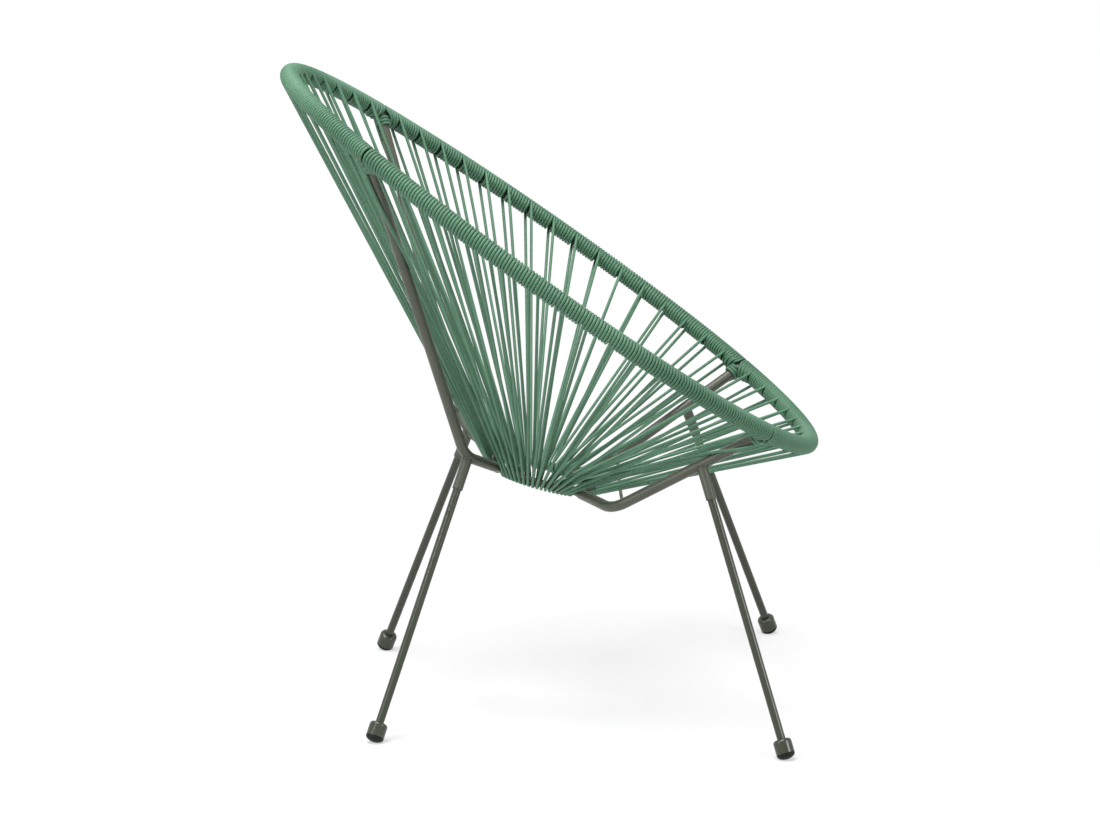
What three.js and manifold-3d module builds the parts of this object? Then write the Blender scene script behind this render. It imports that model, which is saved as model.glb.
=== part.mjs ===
// Acapulco chair: a tilted oval rim wound with plastic cord, a bucket of straight cords
// drawn down to a small seat ring, four bent stays, and four plug-in legs on capped feet.
// Millimetres, +Z up. The chair faces -Y, +X is the sitter's left, and Z = 0 is the floor.

import * as THREE from "three";
import Module from "manifold-3d";
import { mergeGeometries, mergeVertices } from "three/addons/utils/BufferGeometryUtils.js";

const wasm = await Module();
wasm.setup();

const { cos, sin, max, min, floor, abs, tan, hypot, atan2, PI } = Math;
const degree = PI / 180;
const vec = (x, y, z) => new THREE.Vector3(x, y, z);

// Clearances
const seatGap = 0.3;
const cordGap = 0.4;
const turnGap = 0.5;

// Rim: an oval in one plane that leans down to the front
const rimLength = 840;
const rimWidth = 700;
const rimCentreHeight = 596;
const rimTilt = 35.3 * degree;
const rimTubeRadius = 8;
const rimFrontSwellShare = 0.07;
const rimEndFullnessShare = 0.064;
const rearJointAngle = 47.2 * degree;
const frontJointAngle = 141.6 * degree;

// Cord
const cordRadius = 2.1;
const laneOffset = 5;
const grooveDepth = 2.6;
const jointHalf = 1.6;
const jointSpacingShare = 0.75;
const stationsBack = 14;
const stationsSide = 16;
const stationsFront = 12;
const lashingTurns = 1.5;
const lashingStart = 15.4;

// Seat ring: a rod bent to a circle, leaning down to the front
const ringRadius = 68.5;
const ringRodRadius = 5;
const ringTilt = 15.5 * degree;
const ringCentreY = 12.5;
const ringDrop = 292.5;
const rearStayRingAngle = 36.5 * degree;
const frontStayRingAngle = 130 * degree;
const ringStayMargin = 10.6;

// Stays: bent tubes from the rim to the seat ring, with their bend points on the left side
const stayRadius = 7;
const stayBendRadius = 48;
const stayRingInset = 3;
const frontStayDrop = 1;
const rearBendX = 94;
const rearBendReach = 46.5;
const rearBendDrop = 249.5;
const frontBendX = 146;
const frontBendY = -77;
const frontBendDrop = 310;

// Tie rods between the stays, placed along each stay's long leg from its bend
const tieRodRadius = 2.4;
const rearTieShare = 0.159;
const rearTieInset = 9;
const rearTieBow = 14.5;
const frontTieShare = 0.085;
const frontTieBow = 23;

// Legs: rods that plug into short sockets under the stays. The front feet stand apart by twice
// the lead, the left one ahead of the right one.
const legRadius = 5.5;
const socketWall = 1.2;
const socketLength = 47;
const legTopInset = 6;
const rearSocketBendShare = 0.65;
const frontSocketShare = 0.585;
const rearFootX = 244;
const rearFootY = 234;
const frontFootX = 329;
const frontFootY = -307.5;
const frontFootLead = 13.5;

// Feet: a painted cap with a rubber pad under it
const capRadius = 12;
const capLength = 19.5;
const capShoulder = 6;
const capNeckWall = 1.8;
const capFloor = 4;
const padDrop = 7;
const padFlat = 0.8;

// Counts of sides and steps
const tubeSides = 12;
const rimSides = 8;
const cordSides = 5;
const ringSides = 8;
const ringSteps = 30;
const bendSteps = 5;
const turnSteps = 3;
const lashingSteps = 12;
const tieSteps = 8;
const domeSteps = 3;

// Colours and finish
const paint = { color: 0x5d5f56, roughness: 0.5, metalness: 0.35 };
const cordPlastic = { color: 0x4f8a6c, roughness: 0.42, metalness: 0 };
const rubber = { color: 0x202322, roughness: 0.85, metalness: 0 };

const chair = new THREE.Group();

function addMesh(name, geometry, finish) {
  const mesh = new THREE.Mesh(geometry, new THREE.MeshStandardMaterial(finish));
  mesh.name = name;
  chair.add(mesh);
  return mesh;
}

// Geometry from rings of points

function geometryFrom(positions, index) {
  const geometry = new THREE.BufferGeometry();
  geometry.setAttribute("position", new THREE.Float32BufferAttribute(positions, 3));
  geometry.setIndex(index);
  geometry.computeVertexNormals();
  return geometry;
}

function joinRings(rings, { closed = false, open = false } = {}) {
  const count = rings[0].length;
  const positions = rings.flat().flatMap((p) => [p.x, p.y, p.z]);
  const index = [];
  const face = (a, b, c) => index.push(a, b, c);
  const spans = closed ? rings.length : rings.length - 1;
  for (let i = 0; i < spans; i += 1) {
    const here = i * count;
    const next = ((i + 1) % rings.length) * count;
    for (let j = 0; j < count; j += 1) {
      const k = (j + 1) % count;
      face(here + j, here + k, next + k);
      face(here + j, next + k, next + j);
    }
  }
  if (!closed && !open) {
    const last = (rings.length - 1) * count;
    for (let j = 1; j < count - 1; j += 1) {
      face(0, j + 1, j);
      face(last, last + j, last + j + 1);
    }
  }
  return geometryFrom(positions, index);
}

// A sleeve whose bore has fewer rings than its outside

function joinUneven(outer, inner) {
  const skin = joinRings(outer, { open: true });
  const bore = joinRings(inner, { open: true });
  const farEnd = joinRings([outer[outer.length - 1], inner[0]], { open: true });
  const nearEnd = joinRings([inner[inner.length - 1], outer[0]], { open: true });
  const bare = [skin, bore, farEnd, nearEnd].map((part) => {
    part.deleteAttribute("normal");
    return part;
  });
  return mergeVertices(mergeGeometries(bare));
}

const polar = (centre, across, up, radius, angle) => centre.clone()
  .addScaledVector(across, radius * cos(angle))
  .addScaledVector(up, radius * sin(angle));

function circleOf(centre, across, up, radius, sides, turn = 0) {
  const ring = [];
  for (let i = 0; i < sides; i += 1) {
    ring.push(polar(centre, across, up, radius, turn + (2 * PI * i) / sides));
  }
  return ring;
}

// Rings along a path, each square to the path and turned as little as possible from the last

function pathRings(points, radius, sides) {
  const tangents = points.map((_, i) => {
    const before = points[max(i - 1, 0)];
    const after = points[min(i + 1, points.length - 1)];
    const back = points[i].clone().sub(before).normalize();
    const ahead = after.clone().sub(points[i]).normalize();
    return back.add(ahead).normalize();
  });
  const first = tangents[0];
  const spare = abs(first.z) < 0.9 ? vec(0, 0, 1) : vec(1, 0, 0);
  let across = spare.cross(first).normalize();
  return points.map((point, i) => {
    across = across.clone().addScaledVector(tangents[i], -across.dot(tangents[i])).normalize();
    const up = tangents[i].clone().cross(across);
    return circleOf(point, across, up, radius, sides);
  });
}

const rod = (points, radius, sides = tubeSides) => joinRings(pathRings(points, radius, sides));

// The arc that rounds the corner between two straight legs, as a function of the share of it

function bendBetween([first, corner, last], radius) {
  const back = first.clone().sub(corner).normalize();
  const ahead = last.clone().sub(corner).normalize();
  const half = back.angleTo(ahead) / 2;
  const setback = radius / tan(half);
  const bisector = back.clone().add(ahead).normalize();
  const centre = corner.clone().addScaledVector(bisector, radius / sin(half));
  const start = corner.clone().addScaledVector(back, setback).sub(centre);
  const end = corner.clone().addScaledVector(ahead, setback).sub(centre);
  const sweep = start.angleTo(end);
  return (share) => centre.clone()
    .addScaledVector(start, sin((1 - share) * sweep) / sin(sweep))
    .addScaledVector(end, sin(share * sweep) / sin(sweep));
}

function bentPath(corners, radius) {
  const bend = bendBetween(corners, radius);
  const arc = [];
  for (let step = 0; step <= bendSteps; step += 1) {
    arc.push(bend(step / bendSteps));
  }
  return [corners[0], ...arc, corners[corners.length - 1]];
}

// Cutting and joining closed shapes

function toSolid(geometry) {
  const bare = geometry.clone();
  bare.deleteAttribute("normal");
  bare.deleteAttribute("uv");
  const merged = mergeVertices(bare);
  return new wasm.Manifold(new wasm.Mesh({
    numProp: 3,
    vertProperties: new Float32Array(merged.attributes.position.array),
    triVerts: new Uint32Array(merged.index.array),
  }));
}

function fromSolid(solid) {
  const mesh = solid.getMesh();
  return geometryFrom(Array.from(mesh.vertProperties), Array.from(mesh.triVerts));
}

const cut = (geometry, ...cutters) => fromSolid(
  cutters.reduce((rest, cutter) => rest.subtract(toSolid(cutter)), toSolid(geometry)));
const join = ([first, ...others]) => fromSolid(
  others.reduce((whole, other) => whole.add(toSolid(other)), toSolid(first)));

// Rim plane and curve

const rimAhead = vec(0, -cos(rimTilt), -sin(rimTilt));
const rimNormal = vec(0, -sin(rimTilt), cos(rimTilt));
const rimCentre = vec(0, 0, rimCentreHeight);

class RimCurve extends THREE.Curve {
  getPoint(t, target = new THREE.Vector3()) {
    const angle = 2 * PI * t;
    const c = cos(angle);
    const fullness = 1 - rimFrontSwellShare * c + rimEndFullnessShare * c * c;
    target.set((rimWidth / 2) * sin(angle) * fullness, 0, 0);
    return target.add(rimCentre).addScaledVector(rimAhead, (-rimLength / 2) * c);
  }
}

const rimCurve = new RimCurve();
rimCurve.arcLengthDivisions = 720;
const rimPerimeter = rimCurve.getLength();
const rimArcAt = (angle) => {
  const lengths = rimCurve.getLengths();
  const turns = floor(angle / (2 * PI));
  const place = ((angle / (2 * PI)) - turns) * rimCurve.arcLengthDivisions;
  const low = floor(place);
  const high = min(low + 1, rimCurve.arcLengthDivisions);
  return turns * rimPerimeter + THREE.MathUtils.lerp(lengths[low], lengths[high], place - low);
};
const rimShareAt = (arc) => (((arc % rimPerimeter) + rimPerimeter) % rimPerimeter) / rimPerimeter;
const rimPoint = (arc) => rimCurve.getPointAt(rimShareAt(arc));

// Seat ring plane

const ringCentre = vec(0, ringCentreY, rimCentreHeight - ringDrop);
const ringBack = vec(0, cos(ringTilt), sin(ringTilt));
const ringNormal = vec(0, -sin(ringTilt), cos(ringTilt));
const ringOut = (angle) => vec(sin(angle), 0, 0).addScaledVector(ringBack, cos(angle));
const ringPoint = (angle) => ringCentre.clone().addScaledVector(ringOut(angle), ringRadius);

// Stays: each runs from its joint on the rim, round one bend, to the seat ring

const mirrored = (point, side) => vec(side * point.x, point.y, point.z);

function stayCorners(jointAngle, bend, ringAngle, drop) {
  const joint = rimCurve.getPoint(jointAngle / (2 * PI));
  const end = ringCentre.clone().addScaledVector(ringOut(ringAngle), ringRadius + stayRingInset);
  end.z -= drop;
  return [joint, bend, end];
}

const rearBend = vec(rearBendX, ringRadius + rearBendReach, rimCentreHeight - rearBendDrop);
const frontBend = vec(frontBendX, frontBendY, rimCentreHeight - frontBendDrop);
const rearStay = stayCorners(rearJointAngle, rearBend, rearStayRingAngle, 0);
const frontStay = stayCorners(frontJointAngle, frontBend, frontStayRingAngle, frontStayDrop);
const stayPath = (corners, side) => {
  const turned = corners.map((corner) => mirrored(corner, side));
  return bentPath(turned, stayBendRadius);
};

const sides = [["left", 1], ["right", -1]];
const stayClearance = (stayRadius + seatGap) / cos(PI / tubeSides);
const stayEnvelope = (corners, sign) => rod(stayPath(corners, sign), stayClearance);
const stayEnvelopes = [rearStay, frontStay].flatMap((corners) =>
  sides.map(([, sign]) => stayEnvelope(corners, sign)));

// Stops along the rim: the stay joints, and the stations where a cord goes down to the ring

const quarters = [
  { name: "left", from: rearJointAngle, to: frontJointAngle,
    ringFrom: rearStayRingAngle, ringTo: frontStayRingAngle, count: stationsSide },
  { name: "front", from: frontJointAngle, to: 2 * PI - frontJointAngle,
    ringFrom: frontStayRingAngle, ringTo: 2 * PI - frontStayRingAngle, count: stationsFront },
  { name: "right", from: 2 * PI - frontJointAngle, to: 2 * PI - rearJointAngle,
    ringFrom: 2 * PI - frontStayRingAngle, ringTo: 2 * PI - rearStayRingAngle, count: stationsSide },
  { name: "back", from: 2 * PI - rearJointAngle, to: 2 * PI + rearJointAngle,
    ringFrom: 2 * PI - rearStayRingAngle, ringTo: 2 * PI + rearStayRingAngle, count: stationsBack },
];

const stops = [];
for (const quarter of quarters) {
  const startArc = rimArcAt(quarter.from);
  const length = rimArcAt(quarter.to) - startArc;
  const pitch = length / (quarter.count - 1 + 2 * jointSpacingShare);
  const ringMargin = ringStayMargin / ringRadius;
  const ringStep = (quarter.ringTo - quarter.ringFrom - 2 * ringMargin) / (quarter.count - 1);
  stops.push({ arc: startArc, ringAngle: null });
  for (let i = 0; i < quarter.count; i += 1) {
    const ringAngle = quarter.ringFrom + ringMargin + i * ringStep;
    stops.push({ arc: startArc + (jointSpacingShare + i) * pitch, ringAngle });
  }
}

// Rim tube and the close turns wound on it, both straight from stop to stop. The wound cord
// stands in bays, drawn in to a groove at each station.

const rimCorners = stops.map((stop) => rimPoint(stop.arc));
const cornerAfter = (i) => rimCorners[(i + 1) % rimCorners.length];
const cornerBefore = (i) => rimCorners[(i + rimCorners.length - 1) % rimCorners.length];
const spanAfter = (i) => cornerAfter(i).clone().sub(rimCorners[i]).normalize();
const spanBefore = (i) => rimCorners[i].clone().sub(cornerBefore(i)).normalize();
const outwardFrom = (along) => rimNormal.clone().cross(along).normalize();

function rimRing(i, offset, radius) {
  const along = vec(0, 0, 0);
  if (offset <= 0) {
    along.add(spanBefore(i));
  }
  if (offset >= 0) {
    along.add(spanAfter(i));
  }
  const centre = rimCorners[i].clone().addScaledVector(along.normalize(), offset);
  return circleOf(centre, outwardFrom(along), rimNormal, radius, rimSides, PI / rimSides);
}

const rimHoop = (radius) => joinRings(rimCorners.map((_, i) => rimRing(i, 0, radius)), { closed: true });
addMesh("rim_tube", rimHoop(rimTubeRadius), paint);

const woundRadius = rimTubeRadius + cordGap + 2 * cordRadius;
const grooveRadius = woundRadius - grooveDepth;
const sleeveBore = (rimTubeRadius + seatGap) / cos(PI / rimSides);

function windingSleeve(from, to) {
  const outer = [rimRing(from, jointHalf, woundRadius)];
  const inner = [rimRing(from, jointHalf, sleeveBore)];
  for (let i = from + 1; i < to; i += 1) {
    outer.push(rimRing(i, -laneOffset, woundRadius));
    outer.push(rimRing(i, 0, grooveRadius));
    outer.push(rimRing(i, laneOffset, woundRadius));
    inner.push(rimRing(i, 0, sleeveBore));
  }
  const last = to % rimCorners.length;
  outer.push(rimRing(last, -jointHalf, woundRadius));
  inner.push(rimRing(last, -jointHalf, sleeveBore));
  return joinUneven(outer, inner.reverse());
}

// Seat cords: at each station the cord leaves one bay, runs down to the seat ring,
// turns under it and runs back up into the next bay

const rimHug = rimTubeRadius + cordGap + cordRadius;
const ringHug = ringRodRadius + cordGap + cordRadius;

function stationPath(stop, i) {
  const seat = ringPoint(stop.ringAngle);
  const run = seat.clone().sub(rimCorners[i]).normalize();
  const laneEnd = (along, offset, turn) => {
    const out = outwardFrom(along);
    const runAngle = atan2(run.dot(rimNormal), run.dot(out));
    const centre = rimCorners[i].clone().addScaledVector(along, offset);
    return polar(centre, out, rimNormal, rimHug, runAngle + turn);
  };
  const radial = ringOut(stop.ringAngle);
  const riseAngle = atan2(-run.dot(ringNormal), -run.dot(radial));
  const turnStep = PI / turnSteps;
  const turn = [];
  for (let step = 0; step < turnSteps; step += 1) {
    const angle = riseAngle - PI / 2 - (step + 0.5) * turnStep;
    turn.push(polar(seat, radial, ringNormal, ringHug / cos(turnStep / 2), angle));
  }
  return [laneEnd(spanBefore(i), -laneOffset, PI / 2), ...turn, laneEnd(spanAfter(i), laneOffset, -PI / 2)];
}

const stationPaths = stops.map((stop, i) => (stop.ringAngle === null ? null : stationPath(stop, i)));
const jointIndexes = stops.map((stop, i) => (stop.ringAngle === null ? i : -1)).filter((i) => i >= 0);
quarters.forEach((quarter, n) => {
  const from = jointIndexes[n];
  const to = from + quarter.count + 1;
  const cords = stationPaths.slice(from + 1, to).map((path) => rod(path, cordRadius, cordSides));
  const basket = join([windingSleeve(from, to), ...cords]);
  addMesh(`seat_cord_${quarter.name}`, cut(basket, ...stayEnvelopes), cordPlastic);
});

// Seat ring

const ringGeometry = (rodRadius) => {
  const rings = [];
  for (let i = 0; i < ringSteps; i += 1) {
    const angle = (2 * PI * i) / ringSteps;
    rings.push(circleOf(ringPoint(angle), ringOut(angle), ringNormal, rodRadius, ringSides));
  }
  return joinRings(rings, { closed: true });
};
addMesh("seat_ring", ringGeometry(ringRodRadius), paint);

// Stays, each cut to sit on the rim and on the seat ring

const rimCutter = rimHoop((rimTubeRadius + seatGap) / cos(PI / rimSides));
const ringCutter = ringGeometry((ringRodRadius + seatGap) / cos(PI / ringSides));
for (const [side, sign] of sides) {
  for (const [place, corners] of [["rear", rearStay], ["front", frontStay]]) {
    const tube = rod(stayPath(corners, sign), stayRadius);
    addMesh(`${place}_stay_${side}`, cut(tube, rimCutter, ringCutter), paint);
  }
}

// Lashings: turns of the cord that close the winding round each stay below the rim

const lashingRadius = (stayRadius + cordGap + cordRadius) / cos(PI / lashingSteps);
const lashingPitch = 2 * cordRadius + turnGap;

// Each turn lies square to lean, so that it runs beside the rim however the stay meets it.
function helixPoints(start, direction, lean) {
  const spare = vec(0, 0, 1).cross(direction).normalize();
  const up = direction.clone().cross(spare);
  const slope = lean.dot(direction);
  const points = [];
  for (let i = 0; i <= lashingTurns * lashingSteps; i += 1) {
    const ray = polar(vec(0, 0, 0), spare, up, lashingRadius, (2 * PI * i) / lashingSteps);
    const slide = ((lashingPitch * i) / lashingSteps - ray.dot(lean)) / slope;
    points.push(start.clone().add(ray).addScaledVector(direction, slide));
  }
  return points;
}

const outwardAt = {
  rear: outwardFrom(rimCurve.getTangent(rearJointAngle / (2 * PI))),
  front: outwardFrom(rimCurve.getTangent(frontJointAngle / (2 * PI))),
};

function leastTurnGap(points) {
  let least = Infinity;
  for (let i = 0; i < points.length; i += 1) {
    for (let j = i + floor(lashingSteps / 2); j < points.length; j += 1) {
      least = min(least, points[i].distanceTo(points[j]) - 2 * cordRadius);
    }
  }
  return least;
}

for (const [side, sign] of sides) {
  for (const [place, corners] of [["rear", rearStay], ["front", frontStay]]) {
    const top = mirrored(corners[0], sign);
    const down = mirrored(corners[1], sign).sub(top).normalize();
    const outward = mirrored(outwardAt[place], sign);
    const along = outward.cross(rimNormal);
    const lean = down.clone().projectOnPlane(along).normalize();
    const start = top.clone().addScaledVector(down, lashingStart / lean.dot(down));
    const points = helixPoints(start, down, lean);
    const least = leastTurnGap(points).toFixed(2);
    console.log(`lashing ${place} ${side}: least gap between turns ${least} mm`);
    addMesh(`lashing_${place}_${side}`, rod(points, cordRadius, cordSides), cordPlastic);
  }
}

// Tie rods, cut to sit on the stays

const onLongLeg = (corners, share) => corners[1].clone().lerp(corners[0], share);
const rearTieEnd = onLongLeg(rearStay, rearTieShare);
const frontTieEnd = onLongLeg(frontStay, frontTieShare);
rearTieEnd.y -= rearTieInset;
const ties = [
  { place: "rear", corners: rearStay, end: rearTieEnd, bow: vec(0, rearTieBow, 0) },
  { place: "front", corners: frontStay, end: frontTieEnd, bow: vec(0, 0, -frontTieBow) },
];
for (const { place, corners, end, bow } of ties) {
  const points = [];
  for (let i = 0; i <= tieSteps; i += 1) {
    const across = 1 - (2 * i) / tieSteps;
    points.push(vec(across * end.x, end.y, end.z).addScaledVector(bow, 1 - across * across));
  }
  const tie = rod(points, tieRodRadius, rimSides);
  const stays = sides.map(([, sign]) => stayEnvelope(corners, sign));
  addMesh(`${place}_tie_rod`, cut(tie, ...stays), paint);
}

// Legs with their sockets, caps and pads

const socketBore = (legRadius + seatGap) / cos(PI / tubeSides);
const socketRadius = socketBore + socketWall;

function sleeveAlong(start, end, outerRadius, innerRadius) {
  const outer = pathRings([start, end], outerRadius, tubeSides);
  const inner = pathRings([start, end], innerRadius, tubeSides);
  return joinRings([outer[0], outer[1], inner[1], inner[0]], { closed: true });
}

function latheAlong(profile, base, direction) {
  const geometry = new THREE.LatheGeometry(profile, tubeSides);
  const turn = new THREE.Quaternion().setFromUnitVectors(vec(0, 1, 0), direction);
  geometry.applyQuaternion(turn);
  geometry.translate(base.x, base.y, base.z);
  return geometry;
}

function capProfile() {
  const neck = legRadius + seatGap + capNeckWall;
  const bore = legRadius + seatGap;
  const points = [new THREE.Vector2(0, seatGap), new THREE.Vector2(capRadius, seatGap)];
  for (let i = 0; i <= domeSteps; i += 1) {
    const angle = (PI / 2) * (i / domeSteps);
    const radius = neck + (capRadius - neck) * cos(angle);
    points.push(new THREE.Vector2(radius, capLength - capShoulder + capShoulder * sin(angle)));
  }
  points.push(new THREE.Vector2(bore, capLength), new THREE.Vector2(bore, capFloor));
  points.push(new THREE.Vector2(0, capFloor));
  return points;
}

function padProfile() {
  const points = [];
  for (let i = 0; i <= domeSteps; i += 1) {
    const angle = (PI / 2) * (i / domeSteps);
    points.push(new THREE.Vector2(capRadius * sin(angle), -padDrop * cos(angle)));
  }
  points.push(new THREE.Vector2(0, 0));
  return points;
}

const floorDepth = 2 * padDrop;
const floorSide = 8 * capRadius;
function addLeg(place, side, sign, corners, joint, footX, footY) {
  const anchor = mirrored(joint, sign);
  const foot = vec(sign * footX, footY, 0);
  const rise = anchor.clone().sub(foot).normalize();
  const socketEnd = anchor.clone().addScaledVector(rise, -socketLength);
  addMesh(`leg_socket_${place}_${side}`,
    cut(sleeveAlong(socketEnd, anchor, socketRadius, socketBore), stayEnvelope(corners, sign)), paint);

  const slope = hypot(rise.x, rise.y);
  const padDepth = hypot(capRadius * slope, padDrop * rise.z);
  const base = foot.clone().addScaledVector(rise, (padDepth - padFlat) / rise.z);
  const legTop = anchor.clone().addScaledVector(rise, -stayRadius - legTopInset);
  const legEnd = base.clone().addScaledVector(rise, capFloor + seatGap);
  addMesh(`leg_${place}_${side}`, rod([legEnd, legTop], legRadius), paint);
  addMesh(`foot_cap_${place}_${side}`, latheAlong(capProfile(), base, rise), paint);

  const floor = new THREE.BoxGeometry(floorSide, floorSide, floorDepth);
  floor.translate(foot.x, foot.y, -floorDepth / 2);
  addMesh(`foot_pad_${place}_${side}`, cut(latheAlong(padProfile(), base, rise), floor), rubber);
}

const rearLegJoint = bendBetween(rearStay, stayBendRadius)(rearSocketBendShare);
const frontLegJoint = onLongLeg(frontStay, frontSocketShare);
for (const [side, sign] of sides) {
  addLeg("rear", side, sign, rearStay, rearLegJoint, rearFootX, rearFootY);
  addLeg("front", side, sign, frontStay, frontLegJoint, frontFootX, frontFootY - sign * frontFootLead);
}

// Length of cord: the runs to the ring and back, and the turns wound between the stations

const pathLength = (points) => points.slice(1).reduce((sum, p, i) => sum + p.distanceTo(points[i]), 0);
const runsLength = stationPaths.filter(Boolean).reduce((sum, path) => sum + pathLength(path), 0);
const turnLength = 2 * PI * (rimTubeRadius + cordRadius);
const woundLength = (rimPerimeter / (2 * cordRadius)) * turnLength;
console.log(`rim ${rimPerimeter.toFixed(0)} mm`);
console.log(`cord runs ${runsLength.toFixed(0)} mm, wound ${woundLength.toFixed(0)} mm`);

export default chair;
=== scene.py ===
from bisect import bisect_right
from math import acos, atan2, ceil, cos, floor, hypot, pi, radians, sin, sqrt, tan

import bmesh
import bpy
from bpy.props import FloatProperty, FloatVectorProperty, IntProperty, PointerProperty
from bpy.types import Operator, Panel, PropertyGroup
from mathutils import Matrix, Vector


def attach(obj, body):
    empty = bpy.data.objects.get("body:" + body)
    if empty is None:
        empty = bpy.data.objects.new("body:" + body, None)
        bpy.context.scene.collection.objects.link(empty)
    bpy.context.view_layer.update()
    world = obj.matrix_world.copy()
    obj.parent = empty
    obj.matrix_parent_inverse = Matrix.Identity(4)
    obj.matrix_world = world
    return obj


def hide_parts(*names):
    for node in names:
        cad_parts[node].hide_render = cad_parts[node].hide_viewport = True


bl_info = {
    "name": "Acapulco Chair",
    "version": (1, 0, 0),
    "blender": (4, 5, 0),
    "location": "View3D > Sidebar > Chair",
    "description": "Dresses the chair's frame with wound cord, painted tubes and rubber feet",
    "category": "Object",
}

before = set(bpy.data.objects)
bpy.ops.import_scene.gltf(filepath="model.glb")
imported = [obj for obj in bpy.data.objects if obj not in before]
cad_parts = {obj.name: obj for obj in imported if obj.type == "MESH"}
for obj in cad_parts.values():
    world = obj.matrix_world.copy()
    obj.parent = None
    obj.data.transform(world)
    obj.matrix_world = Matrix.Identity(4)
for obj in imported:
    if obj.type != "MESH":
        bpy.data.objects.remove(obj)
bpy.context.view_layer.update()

MM = 0.001
SIDES = (("left", 1), ("right", -1))
CORNERS = tuple((place, side, sign) for side, sign in SIDES for place in ("rear", "front"))

# Meshing: points that merge, edges that stay sharp, and the roundness of cords and weld beads
MERGE_DISTANCE = 0.01 * MM
SHARP_ANGLE = radians(32)
CORD_ROUNDNESS = 3
BEAD_ROUNDNESS = 3

# Shares at which a straight run, a short bend and an end strand's run have points
RUN_SHARES = (0.05, 0.35, 0.65, 0.95)
BEND_SHARES = (0.3, 0.6, 0.9)
STRAND_SHARES = (0.3, 0.6, 0.95)


def metres(name, description, default):
    return FloatProperty(name=name, description=description, default=default, unit="LENGTH",
                         precision=5)


def angle(name, description, degrees):
    return FloatProperty(name=name, description=description, default=radians(degrees),
                         subtype="ANGLE")


def fraction(name, description, default):
    return FloatProperty(name=name, description=description, default=default, subtype="FACTOR")


def lamp_power(name, description, default):
    return FloatProperty(name=name, description=description, default=default, subtype="POWER")


def colour(name, description, default):
    return FloatVectorProperty(name=name, description=description, default=default, subtype="COLOR",
                               size=3)


def location(name, description, default):
    return FloatVectorProperty(name=name, description=description, default=default,
                               subtype="TRANSLATION", size=3)


# Settings

class RimSettings(PropertyGroup):
    """Sizes of the oval rim"""
    length: metres("Length", "From the back to the front, along the leaning plane", 840 * MM)
    width: metres("Width", "From side to side, over the tube's centreline", 700 * MM)
    centre_height: metres("Centre height", "Height of the oval's middle", 596 * MM)
    tilt: angle("Tilt", "How far the rim leans down to the front", 35.3)
    tube_radius: metres("Tube radius", "Radius of the bare rim tube", 8 * MM)
    front_swell: fraction("Front swell", "Extra width of the front half", 0.07)
    end_fullness: fraction("End fullness", "Roundness of both ends", 0.064)
    rear_joint: angle("Rear joint", "Place of the rear stays, from the back of the oval", 47.2)
    front_joint: angle("Front joint", "Place of the front stays, from the back of the oval", 141.6)


class RingSettings(PropertyGroup):
    """Sizes of the seat ring"""
    radius: metres("Radius", "Radius of the ring's centreline", 68.5 * MM)
    rod_radius: metres("Rod radius", "Radius of the rod that the ring is bent from", 5 * MM)
    tilt: angle("Tilt", "How far the ring leans down to the front", 15.5)
    centre_y: metres("Centre, back and forth", "Place of the ring's middle", 12.5 * MM)
    centre_height: metres("Centre height", "Height of the ring's middle", 303.5 * MM)
    rear_stay: angle("Rear stay", "Place of the rear stays on the ring", 36.5)
    front_stay: angle("Front stay", "Place of the front stays on the ring", 130.0)
    stay_margin: metres("Stay margin", "From a stay's centreline to the nearest cord", 10.6 * MM)


class CordSettings(PropertyGroup):
    """Sizes and counts of the wound cord"""
    radius: metres("Cord radius", "Radius of the round cord", 2.1 * MM)
    back: IntProperty(name="Back cords", description="Stations between the rear stays", default=14)
    side: IntProperty(name="Side cords", description="Stations on each side", default=16)
    front: IntProperty(name="Front cords", description="Stations between the front stays",
                       default=12)
    joint_share: fraction("Joint spacing", "Share of a spacing beside a joint", 0.75)
    joint_slit: metres("Joint slit", "Gap in the winding over each joint", 2.6 * MM)
    end_place: metres("End strand, place", "From the rim's centreline to its start", 6.0 * MM)
    end_back: metres("End strand, back", "How far it starts behind the stay's middle", 6.0 * MM)
    end_space: metres("End strand, space", "Extra room on the ring for an end strand", 2.8 * MM)
    wrap_shift: metres("Ring shift", "How far a cord moves along the ring below it", 2.6 * MM)
    hug: metres("Hug", "Air between the cord and the metal that it goes round", 0.1 * MM)
    turn_steps: IntProperty(name="Turn steps", description="Points in each turn", default=20)


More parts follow.
